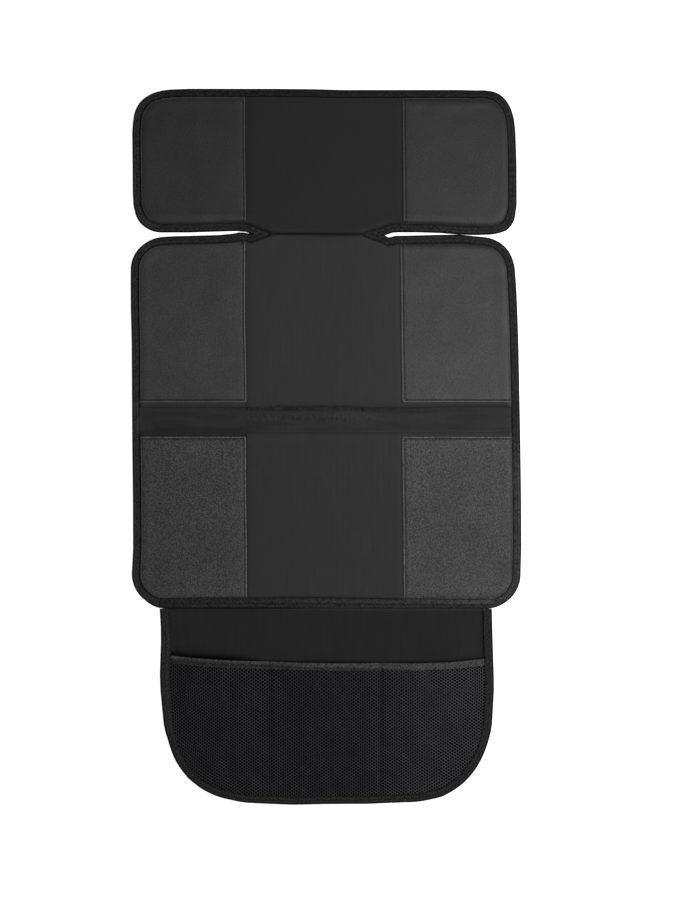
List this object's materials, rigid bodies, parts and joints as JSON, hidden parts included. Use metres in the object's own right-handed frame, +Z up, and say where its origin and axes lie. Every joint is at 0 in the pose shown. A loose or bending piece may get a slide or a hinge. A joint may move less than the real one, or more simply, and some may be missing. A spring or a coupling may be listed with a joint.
{
  "type": "car seat protector mat",
  "caption": "Padded mat that lies on a car seat, with a head flap beyond a sewn crease, leather side patches, a fold band and an unpadded front flap with a divided net pocket.",
  "frame": {"origin": "on the surface that the mat lies on, under the middle of its length and width", "axes": "+Z up out of the padded face, +Y along the mat towards the head flap, +X to the right seen from above"},
  "size_m": [0.472, 0.872, 0.0126],
  "materials": {
    "face_cloth": "matt woven polyester",
    "leather": "semi-matt, fine pebbled grain",
    "edge_tape": "matt woven tape",
    "foam": "open-cell foam, hidden",
    "backing": "matt, coated against slipping",
    "flap_cloth": "matt woven polyester",
    "net": "matt knitted net"
  },
  "bodies": {
    "root": {"head_backing": "backing", "head_foam": "foam", "head_cloth": "face_cloth", "head_leather_left": "leather", "head_leather_right": "leather", "head_binding": "edge_tape", "seat_backing": "backing", "rear_foam": "foam", "front_foam": "foam", "seat_cloth": "face_cloth", "rear_leather_left": "leather", "rear_leather_right": "leather", "front_leather_left": "leather", "front_leather_right": "leather", "seat_binding": "edge_tape", "flap_cloth": "flap_cloth", "flap_binding": "edge_tape", "net_pocket": "net", "pocket_hem": "edge_tape"}
  },
  "joints": []
}
